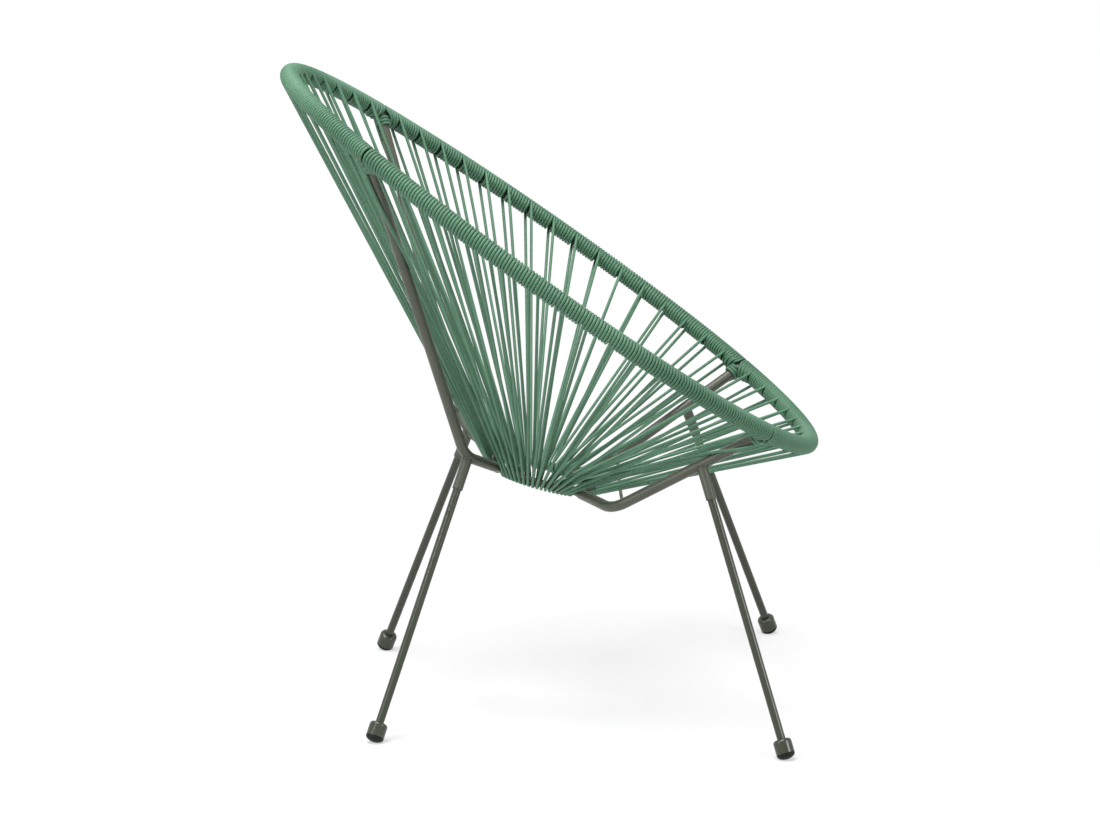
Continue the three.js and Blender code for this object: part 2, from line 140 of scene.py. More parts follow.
class StaySettings(PropertyGroup):
    """Sizes of the four bent stays and the tie rods"""
    radius: metres("Radius", "Radius of the stay tube", 7 * MM)
    bend_radius: metres("Bend radius", "Radius of the bend's centreline", 48 * MM)
    ring_inset: metres("Ring inset", "From the ring's centreline to the stay's end", 3 * MM)
    front_drop: metres("Front drop", "How far the front stays end below the ring", 1 * MM)
    rear_x: metres("Rear bend, sideways", "Place of the rear bend's corner", 94 * MM)
    rear_y: metres("Rear bend, back and forth", "Place of the rear bend's corner", 115 * MM)
    rear_z: metres("Rear bend height", "Height of the rear bend's corner", 346.5 * MM)
    front_x: metres("Front bend, sideways", "Place of the front bend's corner", 146 * MM)
    front_y: metres("Front bend, back and forth", "Place of the front bend's corner", -77 * MM)
    front_z: metres("Front bend height", "Height of the front bend's corner", 286 * MM)
    end_radius: metres("End radius", "Radius of the stay's swaged end at the ring", 5.2 * MM)
    end_taper: metres("End taper", "Length of the swaged end", 16 * MM)
    tie_radius: metres("Tie rod radius", "Radius of both thin rods", 2.4 * MM)
    rear_tie: fraction("Rear tie rod", "Share of the long leg from its bend", 0.159)
    rear_tie_inset: metres("Rear tie inset", "How far the rear rod lies inside the stays", 9 * MM)
    rear_tie_bow: metres("Rear tie bow", "How far the rear rod bows back", 14.5 * MM)
    front_tie: fraction("Front tie rod", "Share of the long leg from its bend", 0.085)
    front_tie_bow: metres("Front tie bow", "How far the front rod bows down", 23 * MM)
    bead: metres("Weld bead", "Radius of the weld beads", 1.5 * MM)
    lashing_start: metres("Lashing start", "From the rim's centreline to the lashing", 9.5 * MM)
    lashing_turns: FloatProperty(name="Lashing turns", description="Turns of cord round each stay",
                                 default=2.5)
    lashing_pitch: fraction("Lashing pitch", "From turn to turn, in thicknesses of the cord", 1.025)


class LegSettings(PropertyGroup):
    """Sizes of the legs, their sockets and their feet"""
    radius: metres("Leg radius", "Radius of the leg rod", 5.5 * MM)
    gap: metres("Gap", "Clearance between a leg and its socket", 0.3 * MM)
    socket_wall: metres("Socket wall", "Wall of the socket tube", 1.2 * MM)
    socket_length: metres("Socket length", "From the stay's centreline to its mouth", 47 * MM)
    top_inset: metres("Top inset", "From the stay to the leg's top", 6 * MM)
    rear_socket: fraction("Rear socket", "Share of the rear bend's arc", 0.65)
    front_socket: fraction("Front socket", "Share of the front long leg", 0.585)
    rear_foot_x: metres("Rear foot, sideways", "Place of the rear feet", 244 * MM)
    rear_foot_y: metres("Rear foot, back and forth", "Place of the rear feet", 234 * MM)
    front_foot_x: metres("Front foot, sideways", "Place of the front feet", 329 * MM)
    front_foot_y: metres("Front foot, back and forth", "Middle of the front feet", -307.5 * MM)
    front_foot_lead: metres("Front foot lead", "How far the left foot is ahead of that", 13.5 * MM)
    cap_radius: metres("Cap radius", "Radius of the painted cap", 12 * MM)
    cap_length: metres("Cap length", "Length of the painted cap", 19.5 * MM)
    cap_shoulder: metres("Cap shoulder", "Depth of the cap's rounded shoulder", 4.5 * MM)
    cap_neck_wall: metres("Cap neck wall", "Wall of the cap round its mouth", 1.4 * MM)
    cap_floor: metres("Cap floor", "Thickness of the cap below the leg", 4 * MM)
    cap_edge: metres("Cap edge", "Size of the broken lower edge", 0.5 * MM)
    cap_seam: metres("Cap seam", "Air between the cap and its pad", 0.3 * MM)
    pad_drop: metres("Pad depth", "Depth of the rubber pad", 7 * MM)
    pad_flat: metres("Pad flat", "How far the pad is worn to a flat", 0.8 * MM)


class FinishSettings(PropertyGroup):
    """Colours of the finishes"""
    cord: colour("Cord", "Green of the plastic cord", (0.071, 0.177, 0.104))
    cord_dark: colour("Cord, dark", "Deeper green of its uneven patches", (0.050, 0.138, 0.078))
    paint: colour("Paint", "Grey green of the frame", (0.060, 0.068, 0.046))
    # Rim slit shade: a near-black green given to the bare rim tube as painted shade, so that the
    # slits in the winding read as deep shadow.
    rim_slit_shade: colour("Rim slit shade", "Painted shade: dark tube colour for the winding's slits", (0.012, 0.032, 0.019))
    leg_paint: colour("Leg paint", "Grey green of the legs", (0.030, 0.037, 0.020))
    rubber: colour("Rubber", "Black of the pads", (0.0045, 0.005, 0.005))


class StageSettings(PropertyGroup):
    """Camera, lamps and floor"""
    camera_place: location("Camera", "Place of the camera", (-4.8594, 0.0757, 1.3159))
    camera_aim: location("Aim", "Point that the camera looks at", (0.0, 0.002, 0.387))
    lens: FloatProperty(name="Lens", description="Focal length in millimetres, on a 36 mm frame",
                        default=121.45)
    floor_size: metres("Floor size", "Side of the square floor", 12.0)
    key_power: lamp_power("Key lamp", "Power of the large lamp above", 118.0)
    side_power: lamp_power("Side lamp", "Power of the lamp behind the chair", 45.0)
    fill_power: lamp_power("Fill lamp", "Power of the lamp in front of the chair", 42.0)
    edge_power: lamp_power("Edge lamp", "Power of the small lamp for crisp edges", 7.0)
    sky: FloatProperty(name="Sky", description="Strength of the light from all round", default=0.26)


# Lamps: name, place, width and the setting that holds the power
LAMPS = (
    ("key lamp", (-0.5, 0.5, 3.2), 2.4, "key_power"),
    ("side lamp", (-2.2, 2.8, 1.6), 1.4, "side_power"),
    ("fill lamp", (-2.0, -3.0, 1.7), 1.4, "fill_power"),
    ("edge lamp", (-2.0, 1.5, 2.2), 0.14, "edge_power"),
)
LAMP_AIM = (0, 0, 0.4)

SETTINGS = (
    ("rim", RimSettings), ("ring", RingSettings), ("cord", CordSettings), ("stay", StaySettings),
    ("leg", LegSettings), ("finish", FinishSettings), ("stage", StageSettings),
)


class ChairSettings(PropertyGroup):
    """All the chair's settings"""
    rim: PointerProperty(type=RimSettings)
    ring: PointerProperty(type=RingSettings)
    cord: PointerProperty(type=CordSettings)
    stay: PointerProperty(type=StaySettings)
    leg: PointerProperty(type=LegSettings)
    finish: PointerProperty(type=FinishSettings)
    stage: PointerProperty(type=StageSettings)


def settings():
    return bpy.context.scene.acapulco_chair


# Materials

def new_group(name, inputs, outputs):
    group = bpy.data.node_groups.new(name, "ShaderNodeTree")
    for label, kind, default in inputs:
        socket = group.interface.new_socket(label, in_out="INPUT", socket_type=kind)
        if default is not None:
            socket.default_value = default
    for label, kind in outputs:
        group.interface.new_socket(label, in_out="OUTPUT", socket_type=kind)
    return group, group.nodes.new("NodeGroupInput"), group.nodes.new("NodeGroupOutput")


def set_inputs(node, values):
    """Sets inputs by name; an underscore stands for a space."""
    for label, value in values.items():
        node.inputs[label.replace("_", " ")].default_value = value


def add_node(nodes, kind, operation=None, **values):
    node = nodes.new(f"ShaderNode{kind}")
    if operation:
        node.operation = operation
    set_inputs(node, values)
    return node


def mottle_group():
    """Slow uneven patches mixed from two colours, and a mask of them."""
    name = "Uneven patches"
    if name in bpy.data.node_groups:
        return bpy.data.node_groups[name]
    group, entry, leave = new_group(name, (
        ("Vector", "NodeSocketVector", None), ("Scale", "NodeSocketFloat", 10.0),
        ("Colour", "NodeSocketColor", None), ("Patch colour", "NodeSocketColor", None),
    ), (("Colour", "NodeSocketColor"), ("Mask", "NodeSocketFloat")))
    noise = add_node(group.nodes, "TexNoise", Detail=4.0)
    spread = add_node(group.nodes, "MapRange", From_Min=0.35, From_Max=0.65)
    mix = add_node(group.nodes, "Mix")
    mix.data_type = "RGBA"
    link = group.links.new
    link(entry.outputs["Vector"], noise.inputs["Vector"])
    link(entry.outputs["Scale"], noise.inputs["Scale"])
    link(noise.outputs["Fac"], spread.inputs["Value"])
    link(spread.outputs["Result"], mix.inputs["Factor"])
    link(entry.outputs["Colour"], mix.inputs["A"])
    link(entry.outputs["Patch colour"], mix.inputs["B"])
    link(mix.outputs["Result"], leave.inputs["Colour"])
    link(spread.outputs["Result"], leave.inputs["Mask"])
    return group


def grain_group():
    """Fine raised grain in two sizes, as a height."""
    name = "Fine grain"
    if name in bpy.data.node_groups:
        return bpy.data.node_groups[name]
    group, entry, leave = new_group(name, (
        ("Vector", "NodeSocketVector", None), ("Scale", "NodeSocketFloat", 1000.0),
    ), (("Height", "NodeSocketFloat"),))
    coarse = add_node(group.nodes, "TexNoise", Detail=2.0)
    fine = add_node(group.nodes, "TexVoronoi")
    fine_scale = add_node(group.nodes, "Math", "MULTIPLY")
    fine_scale.inputs[1].default_value = 2.5
    add = add_node(group.nodes, "Math", "ADD")
    link = group.links.new
    link(entry.outputs["Vector"], coarse.inputs["Vector"])
    link(entry.outputs["Vector"], fine.inputs["Vector"])
    link(entry.outputs["Scale"], coarse.inputs["Scale"])
    link(entry.outputs["Scale"], fine_scale.inputs[0])
    link(fine_scale.outputs["Value"], fine.inputs["Scale"])
    link(coarse.outputs["Fac"], add.inputs[0])
    link(fine.outputs["Distance"], add.inputs[1])
    link(add.outputs["Value"], leave.inputs["Height"])
    return group


def new_material(name):
    material = bpy.data.materials.new(name)
    material.use_nodes = True
    nodes = material.node_tree.nodes
    return material, nodes, material.node_tree.links.new, nodes["Principled BSDF"]


def group_node(nodes, group, **values):
    node = add_node(nodes, "Group")
    node.node_tree = group
    set_inputs(node, values)
    return node


def add_gloss(nodes, link, shader, mask, low, high):
    """Roughness that goes from low to high with a mask."""
    gloss = add_node(nodes, "MapRange", To_Min=low, To_Max=high)
    link(mask, gloss.inputs["Value"])
    link(gloss.outputs["Result"], shader.inputs["Roughness"])


def add_bump(nodes, link, shader, height, strength, depth):
    bump = add_node(nodes, "Bump", Strength=strength, Distance=depth)
    link(height, bump.inputs["Height"])
    link(bump.outputs["Normal"], shader.inputs["Normal"])


def opaque(rgb):
    return (*rgb, 1.0)


def add_patches(nodes, link, shader, tone, patch_tone, scale):
    """Slow patches of two tones in the base colour; returns the coordinates and the mask."""
    place = add_node(nodes, "TexCoord")
    patches = group_node(nodes, mottle_group(), Scale=scale, Colour=opaque(tone),
                         Patch_colour=opaque(patch_tone))
    link(place.outputs["Object"], patches.inputs["Vector"])
    link(patches.outputs["Colour"], shader.inputs["Base Color"])
    return place, patches.outputs["Mask"]


def cord_plastic():
    """Smooth plastic cord: satin gloss, slow patches of tone and faint lines along its length."""
    name = "cord plastic"
    if name in bpy.data.materials:
        return bpy.data.materials[name]
    finish = settings().finish
    material, nodes, link, shader = new_material(name)
    place, _ = add_patches(nodes, link, shader, finish.cord, finish.cord_dark, scale=9.0)
    stretch = add_node(nodes, "Mapping", Scale=(14.0, 900.0, 1.0))
    streaks = add_node(nodes, "TexNoise", Scale=1.0, Detail=3.0)
    link(place.outputs["UV"], stretch.inputs["Vector"])
    link(stretch.outputs["Vector"], streaks.inputs["Vector"])
    add_gloss(nodes, link, shader, streaks.outputs["Fac"], low=0.44, high=0.58)
    add_bump(nodes, link, shader, streaks.outputs["Fac"], strength=0.12, depth=0.1 * MM)
    shader.inputs["IOR"].default_value = 1.46
    return material


def grained_skin(name, tone, patch_tone, patch_scale, roughness, specular, grain_scale, bump):
    """Slow patches of two tones with a fine raised grain, for paint and rubber."""
    if name in bpy.data.materials:
        return bpy.data.materials[name]
    material, nodes, link, shader = new_material(name)
    place, mask = add_patches(nodes, link, shader, tone, patch_tone, patch_scale)
    add_gloss(nodes, link, shader, mask, *roughness)
    shader.inputs["Specular IOR Level"].default_value = specular
    grain = group_node(nodes, grain_group(), Scale=grain_scale)
    link(place.outputs["Object"], grain.inputs["Vector"])
    add_bump(nodes, link, shader, grain.outputs["Height"], *bump)
    return material


def powder_coat(name, paint, roughness, specular=0.5):
    """Powder coated steel: even colour with a fine pebbled skin."""
    darker = [value * 0.86 for value in paint]
    return grained_skin(name, paint, darker, patch_scale=22.0, roughness=roughness,
                        specular=specular, grain_scale=900.0, bump=(0.08, 0.1 * MM))


def frame_paint():
    return powder_coat("frame paint", settings().finish.paint, (0.32, 0.42))


# Painted shade: the hidden rim tube gets a dark, matt green that stands in for the shade inside the
# winding's slits.
def rim_slit_shade():
    return powder_coat("rim paint", settings().finish.rim_slit_shade, (0.6, 0.75), specular=0.15)


def leg_paint():
    return powder_coat("leg paint", settings().finish.leg_paint, (0.17, 0.22))


def pad_rubber():
    """Matt black rubber with a fine grain and paler patches of dust."""
    black = settings().finish.rubber
    dusty = [value * 1.8 for value in black]
    return grained_skin("pad rubber", black, dusty, patch_scale=60.0, roughness=(0.5, 0.7),
                        specular=0.22, grain_scale=700.0, bump=(0.35, 0.15 * MM))


# Making pieces

def add_object(name, data):
    added = bpy.data.objects.new(name, data)
    bpy.context.scene.collection.objects.link(added)
    return added


def add_piece(name, mesh, material, nodes):
    piece = add_object(name, mesh)
    mesh.materials.clear()
    mesh.materials.append(material)
    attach(piece, "root")
    if nodes:
        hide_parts(*nodes)
    return piece


def tube_mesh(name, paths, radius, roundness, closed=False, shares=None):
    """A mesh of round tubes along lists of points; shares thin the tube point by point."""
    curve = bpy.data.curves.new(name, "CURVE")
    curve.dimensions = "3D"
    curve.bevel_depth = radius
    curve.bevel_resolution = roundness
    curve.use_fill_caps = not closed
    for points in paths:
        spline = curve.splines.new("POLY")
        spline.points.add(len(points) - 1)
        for i, point in enumerate(points):
            spline.points[i].co = (*point, 1.0)
            spline.points[i].radius = shares[i] if shares else 1.0
        spline.use_cyclic_u = closed
        spline.use_smooth = True
    holder = add_object(name, curve)
    graph = bpy.context.evaluated_depsgraph_get()
    mesh = bpy.data.meshes.new_from_object(holder.evaluated_get(graph))
    bpy.data.objects.remove(holder)
    bpy.data.curves.remove(curve)
    mesh.polygons.foreach_set("use_smooth", [len(face.vertices) == 4 for face in mesh.polygons])
    return mesh


def axis_matrix(base, direction):
    """Turns +Z to a direction and moves the origin to a base point."""
    return Matrix.Translation(base) @ direction.to_track_quat("Z", "Y").to_matrix().to_4x4()


def turned_mesh(name, profile, base, direction, floor_cut=False, segments=40):
    """A profile of (radius, height) points spun round an axis, smooth except at its sharp edges."""
    shape = bmesh.new()
    points = [shape.verts.new((radius, 0.0, height)) for radius, height in profile]
    edges = [shape.edges.new(pair) for pair in zip(points, points[1:])]
    if profile[0][0] > 0:
        edges.append(shape.edges.new((points[-1], points[0])))
    bmesh.ops.spin(shape, geom=points + edges, cent=(0, 0, 0), axis=(0, 0, 1), angle=2 * pi,
                   steps=segments, use_merge=True)
    bmesh.ops.remove_doubles(shape, verts=shape.verts, dist=MERGE_DISTANCE)
    bmesh.ops.transform(shape, matrix=axis_matrix(base, direction), verts=shape.verts)
    if floor_cut:
        whole = shape.verts[:] + shape.edges[:] + shape.faces[:]
        cut = bmesh.ops.bisect_plane(shape, geom=whole, plane_co=(0, 0, 0), plane_no=(0, 0, -1),
                                     clear_outer=True)
        rim = [item for item in cut["geom_cut"] if isinstance(item, bmesh.types.BMEdge)]
        bmesh.ops.holes_fill(shape, edges=rim)
    bmesh.ops.recalc_face_normals(shape, faces=shape.faces)
    for face in shape.faces:
        face.smooth = True
    for edge in shape.edges:
        edge.smooth = len(edge.link_faces) == 2 and edge.calc_face_angle(0.0) < SHARP_ANGLE
    mesh = bpy.data.meshes.new(name)
    shape.to_mesh(mesh)
    shape.free()
    return mesh


def arc_points(first, corner, last, radius, steps):
    """Points on the arc that rounds a corner."""
    back = (first - corner).normalized()
    ahead = (last - corner).normalized()
    half = back.angle(ahead) / 2
    centre = corner + (back + ahead).normalized() * (radius / sin(half))
    start = corner + back * (radius / tan(half)) - centre
    end = corner + ahead * (radius / tan(half)) - centre
    sweep = start.angle(end)
    return [centre + start * (sin((1 - i / steps) * sweep) / sin(sweep))
            + end * (sin(i / steps * sweep) / sin(sweep)) for i in range(steps + 1)]


def weld_loop(inner_place, inner_axis, inner_radius, outer_place, outer_axis, outer_radius,
              steps=48):
    """Points where a rod meets the side of a thicker tube, on the side that it comes from."""
    inner_axis = inner_axis.normalized()
    outer_axis = outer_axis.normalized()
    across = inner_axis.orthogonal().normalized()
    up = inner_axis.cross(across)
    points = []
    for i in range(steps):
        turn = 2 * pi * i / steps
        start = inner_place + (across * cos(turn) + up * sin(turn)) * inner_radius - outer_place
        start_flat = start - outer_axis * start.dot(outer_axis)
        step_flat = inner_axis - outer_axis * inner_axis.dot(outer_axis)
        a = step_flat.length_squared
        b = start_flat.dot(step_flat)
        c = start_flat.length_squared - outer_radius ** 2
        reach = (-b + sqrt(max(b * b - a * c, 0.0))) / a
        points.append(outer_place + start + inner_axis * reach)
    return points


# Where things are

def rim_point(turn):
    rim = settings().rim
    c = cos(turn)
    fullness = 1 - rim.front_swell * c + rim.end_fullness * c * c
    ahead = Vector((0, -cos(rim.tilt), -sin(rim.tilt)))
    side = Vector((rim.width / 2 * sin(turn) * fullness, 0, rim.centre_height))
    return side - ahead * (rim.length / 2 * c)


def leaning_normal(tilt):
    """Upward normal of a plane that leans down to the front."""
    return Vector((0, -sin(tilt), cos(tilt)))


def rim_normal():
    return leaning_normal(settings().rim.tilt)


def stay_at_joint(place, sign):
    """(way down the stay, way along the rim, square to the rim in the plane of both)"""
    joint, bend, _ = stay_corners(place, sign)
    down = (bend - joint).normalized()
    turn = settings().rim.rear_joint if place == "rear" else settings().rim.front_joint
    nudge = 0.001
    along = (rim_point(sign * turn + nudge) - rim_point(sign * turn - nudge)).normalized()
    lean = (down - along * down.dot(along)).normalized()
    return down, along, lean


class RimTable:
    """Lengths along the rim's centreline, from the back by way of the left side."""

    def __init__(self, steps=1440):
        self.steps = steps
        places = [rim_point(2 * pi * i / steps) for i in range(steps + 1)]
        self.lengths = [0.0]
        for a, b in zip(places, places[1:]):
            self.lengths.append(self.lengths[-1] + (b - a).length)
        self.total = self.lengths[-1]

    def length_at(self, turn):
        turns = floor(turn / (2 * pi))
        place = (turn / (2 * pi) - turns) * self.steps
        low = int(place)
        share = place - low
        high = min(low + 1, self.steps)
        return turns * self.total + self.lengths[low] * (1 - share) + self.lengths[high] * share

    def turn_at(self, length):
        length %= self.total
        low = min(bisect_right(self.lengths, length), self.steps) - 1
        share = (length - self.lengths[low]) / (self.lengths[low + 1] - self.lengths[low])
        return 2 * pi * (low + share) / self.steps

    def frame_at(self, length):
        """(point, along, outward) at a length along the rim"""
        turn = self.turn_at(length)
        nudge = pi / self.steps
        along = (rim_point(turn + nudge) - rim_point(turn - nudge)).normalized()
        return rim_point(turn), along, rim_normal().cross(along).normalized()


def ring_out(turn):
    ring = settings().ring
    return Vector((sin(turn), cos(turn) * cos(ring.tilt), cos(turn) * sin(ring.tilt)))


def ring_normal():
    return leaning_normal(settings().ring.tilt)


def ring_point(turn, radius=None):
    ring = settings().ring
    reach = ring.radius if radius is None else radius
    return Vector((0, ring.centre_y, ring.centre_height)) + ring_out(turn) * reach


def mirrored(point, sign):
    return Vector((sign * point.x, point.y, point.z))


def stay_corners(place, sign=1):
    """The joint on the rim, the bend's corner and the end at the ring."""
    rim, ring, stay = settings().rim, settings().ring, settings().stay
    reach = ring.radius + stay.ring_inset
    if place == "rear":
        joint, bend = rim_point(rim.rear_joint), Vector((stay.rear_x, stay.rear_y, stay.rear_z))
        end = ring_point(ring.rear_stay, reach)
    else:
        joint, bend = rim_point(rim.front_joint), Vector((stay.front_x, stay.front_y, stay.front_z))
        end = ring_point(ring.front_stay, reach)
        end.z -= stay.front_drop
    return [mirrored(corner, sign) for corner in (joint, bend, end)]


def stay_path(place, sign, steps=18):
    corners = stay_corners(place, sign)
    return [corners[0], *arc_points(*corners, settings().stay.bend_radius, steps), corners[2]]


def swaged(path):
    """(path, radius shares) of a stay whose last stretch is drawn down to a smaller end."""
    stay = settings().stay
    steps = 8
    back = (path[-2] - path[-1]).normalized() * stay.end_taper
    shares = [1.0] * (len(path) - 1)
    taper = []
    for i in range(steps + 1):
        t = i / steps
        taper.append(path[-1] + back * (1 - t))
        ease = t * t * (3 - 2 * t)
        shares.append(1 + (stay.end_radius / stay.radius - 1) * ease)
    return path[:-1] + taper, shares


def on_long_leg(place, share):
    joint, bend, _ = stay_corners(place)
    return bend.lerp(joint, share)


def socket_seat(place):
    """(point, direction of the stay) where a leg's socket joins its stay, on the left side"""
    leg = settings().leg
    joint, bend, _ = stay_corners(place)
    if place == "front":
        return on_long_leg("front", leg.front_socket), joint - bend
    steps = 100
    arc = arc_points(*stay_corners("rear"), settings().stay.bend_radius, steps)
    i = round(leg.rear_socket * steps)
    return arc[i], arc[i + 1] - arc[i - 1]


def foot_place(place, sign):
    leg = settings().leg
    if place == "rear":
        return Vector((sign * leg.rear_foot_x, leg.rear_foot_y, 0))
    return Vector((sign * leg.front_foot_x, leg.front_foot_y - sign * leg.front_foot_lead, 0))


def leg_line(place, sign):
    """(joint on the stay, foot on the floor, direction up the leg, base of the cap)"""
    leg = settings().leg
    joint = mirrored(socket_seat(place)[0], sign)
    foot = foot_place(place, sign)
    rise = (joint - foot).normalized()
    depth = hypot(leg.cap_radius * hypot(rise.x, rise.y), leg.pad_drop * rise.z)
    return joint, foot, rise, foot + rise * ((depth - leg.pad_flat) / rise.z)


# The cord's path

def quarters():
    """(name, rim from, rim to, ring from, ring to, stations) of each stretch between stays"""
    rim, ring, cord = settings().rim, settings().ring, settings().cord
    rear, front = rim.rear_joint, rim.front_joint
    ring_rear, ring_front = ring.rear_stay, ring.front_stay
    whole = 2 * pi
    return (
        ("left", rear, front, ring_rear, ring_front, cord.side),
        ("front", front, whole - front, ring_front, whole - ring_front, cord.front),
        ("right", whole - front, whole - rear, whole - ring_front, whole - ring_rear, cord.side),
        ("back", whole - rear, whole + rear, whole - ring_rear, whole + ring_rear, cord.back),
    )


QUARTER_STAYS = {
    "left": (("rear", 1), ("front", 1)),
    "front": (("front", 1), ("front", -1)),
    "right": (("front", -1), ("rear", -1)),
    "back": (("rear", -1), ("rear", 1)),
}


def ring_margin(name):
    """Turn of the ring from a stay to the nearest station, with room for a side's end strand."""
    ring, cord = settings().ring, settings().cord
    space = cord.end_space if name in dict(SIDES) else 0.0
    return (ring.stay_margin + space) / ring.radius


def wound_radius(core):
    """Radius of the cord's centreline where it goes round a tube or a rod."""
    cord = settings().cord
    return core + cord.hug + cord.radius


def cord_on_ring(turn, phase):
    """Point of a cord that goes round the seat ring's rod."""
    ray = ring_out(turn) * cos(phase) + ring_normal() * sin(phase)
    return ring_point(turn) + ray * wound_radius(settings().ring.rod_radius)


def ring_arrival(turn, run):
    """Phase at which a straight run meets the seat ring's rod."""
    return atan2(-run.dot(ring_out(turn)), run.dot(ring_normal()))


def eased(start, corner, end):
    """A short bend from start to end that leaves towards the corner."""
    return [start.lerp(corner, t).lerp(corner.lerp(end, t), t) for t in BEND_SHARES]


class Joint:
    """Spreads the turns beside a stay to both sides of it, where they pile up in two layers."""

    def __init__(self, place, sign, length, side, reach):
        rim, stay, cord = settings().rim, settings().stay, settings().cord
        down, along, lean = stay_at_joint(place, sign)
        outward = rim_normal().cross(along)
        self.length = length
        self.side = side
        self.reach = reach
        self.phase = atan2(lean.dot(rim_normal()), lean.dot(outward))
        slope = down.dot(along) / down.dot(lean)
        wound = wound_radius(rim.tube_radius)
        self.edge = wound_radius(stay.radius) / down.dot(lean) + side * slope * wound
        spread = 1 - self.edge / reach
        self.lift = 2 * cord.radius * sqrt(1 - spread * spread)

    def spread(self, length, phase, turns_away):
        """(length, lift) of a point of the winding"""
        near = self.side * (length - self.length)
        under = max(0.0, cos(phase - self.phase))
        if near >= self.reach or under == 0:
            return length, 0.0
        moved = near + self.edge * under * (1 - near / self.reach)
        second_layer = floor(turns_away) % 2
        fade = min(1.0, 2 * (1 - near / self.reach))
        return self.length + self.side * moved, self.lift * under * second_layer * fade


def quarter_path(table, quarter):
    """One unbroken cord: turns round the rim and, at each station, a run to the ring and back."""
    name, rim_from, rim_to, ring_from, ring_to, count = quarter
    rim, ring, cord = settings().rim, settings().ring, settings().cord
    normal = rim_normal()
    wound = wound_radius(rim.tube_radius)
    start = table.length_at(rim_from)
    end = table.length_at(rim_to)
    spacing = (end - start) / (count - 1 + 2 * cord.joint_share)
    margin = ring_margin(name)
    ring_step = (ring_to - ring_from - 2 * margin) / (count - 1)
    ease_reach = 6 * MM
    tuck_depth = wound / 4
    tuck_steps = 4
    reach = cord.joint_share * spacing - cord.radius
    first_stay, last_stay = QUARTER_STAYS[name]
    joints = (Joint(*first_stay, start, 1, reach), Joint(*last_stay, end, -1, reach))

    def on_rim(length, phase, lift=0.0):
        point, _, outward = table.frame_at(length)
        return point + (outward * cos(phase) + normal * sin(phase)) * (wound + lift)

    def turns(length_from, length_to, phase_from, phase_to, joint=None):
        """Close turns between two places, with the whole turns that fit."""
        share = (phase_to - phase_from) / (2 * pi)
        whole = floor((length_to - length_from) / (2 * cord.radius) - share)
        sweep = phase_to - phase_from + 2 * pi * whole
        steps = ceil(sweep / (2 * pi) * cord.turn_steps)
        points = []
        for i in range(steps + 1):
            length = length_from + (length_to - length_from) * i / steps
            phase = phase_from + sweep * i / steps
            lift = 0.0
            if joint:
                gone = i if joint.side > 0 else steps - i
                length, lift = joint.spread(length, phase, gone / cord.turn_steps + 0.5)
                lift -= tuck_depth * max(0.0, 1 - gone / tuck_steps)
            points.append(on_rim(length, phase, lift))
        return points

    path = []
    last_length, last_phase = start + cord.joint_slit / 2, joints[0].phase
    for i in range(count):
        middle = start + (cord.joint_share + i) * spacing
        ring_turn = ring_from + margin + i * ring_step
        shift = cord.wrap_shift / 2 / ring.radius
        point, _, outward = table.frame_at(middle)
        run = (ring_point(ring_turn) - point).normalized()
        leave = atan2(-run.dot(outward), run.dot(normal))
        arrive = ring_arrival(ring_turn, run)
        leave_length = middle - cord.radius / 2
        return_length = middle + cord.radius / 2
        path += turns(last_length, leave_length, last_phase, leave, None if i else joints[0])[:-1]
        down_from = on_rim(leave_length, leave)
        down_to = cord_on_ring(ring_turn - shift, arrive)
        up_from = cord_on_ring(ring_turn + shift, arrive + pi)
        up_to = on_rim(return_length, leave + pi)
        down = (down_to - down_from).normalized()
        up = (up_to - up_from).normalized()
        path += eased(path[-1], down_from, down_from + down * ease_reach)
        path += [down_from.lerp(down_to, t) for t in RUN_SHARES]
        steps = 9
        path += [cord_on_ring(ring_turn + shift * (2 * j / steps - 1), arrive + pi * j / steps)
                 for j in range(steps + 1)]
        path += [up_from.lerp(up_to, t) for t in RUN_SHARES]
        last_length, last_phase = return_length, leave + pi - 2 * pi
        first_turn = on_rim(return_length, leave + pi + 2 * pi / cord.turn_steps)
        path += eased(up_to - up * ease_reach, up_to, first_turn)
    slit_edge = end - cord.joint_slit / 2
    path += turns(last_length, slit_edge, last_phase, joints[1].phase, joints[1])[2:]
    return path


def end_strand(place, sign, side, ring_turn):
    """One cord from the slit over the stay's outer face to the seat ring, and half round it."""
    stay, cord = settings().stay, settings().cord
    joint = stay_corners(place, sign)[0]
    down, along, _ = stay_at_joint(place, sign)
    under_ring = 1.2 * pi
    run = (ring_point(ring_turn) - joint).normalized()
    across = (along * side - down * down.dot(along * side)).normalized()
    outer = down.cross(across).normalized()
    if run.dot(outer) > 0:
        outer.negate()
    hold = wound_radius(stay.radius)
    arrive = ring_arrival(ring_turn, run)
    landing = cord_on_ring(ring_turn, arrive)
    target = landing - joint
    reach = hypot(target.dot(outer), target.dot(across))
    leave = atan2(target.dot(across), target.dot(outer)) % (2 * pi) - acos(hold / reach)
    first = -cord.end_back / hold
    around = (leave - first) * hold
    slope = (target.dot(down) - cord.end_place) / (sqrt(reach ** 2 - hold ** 2) + around)
    points = []
    steps = 16
    for i in range(steps + 1):
        turn = first + (leave - first) * i / steps
        away = cord.end_place + slope * (turn - first) * hold
        points.append(joint + down * away + (outer * cos(turn) + across * sin(turn)) * hold)
    last = points[-1]
    points += [last.lerp(landing, t) for t in STRAND_SHARES]
    points += [cord_on_ring(ring_turn, arrive + under_ring * j / steps) for j in range(steps + 1)]
    return points


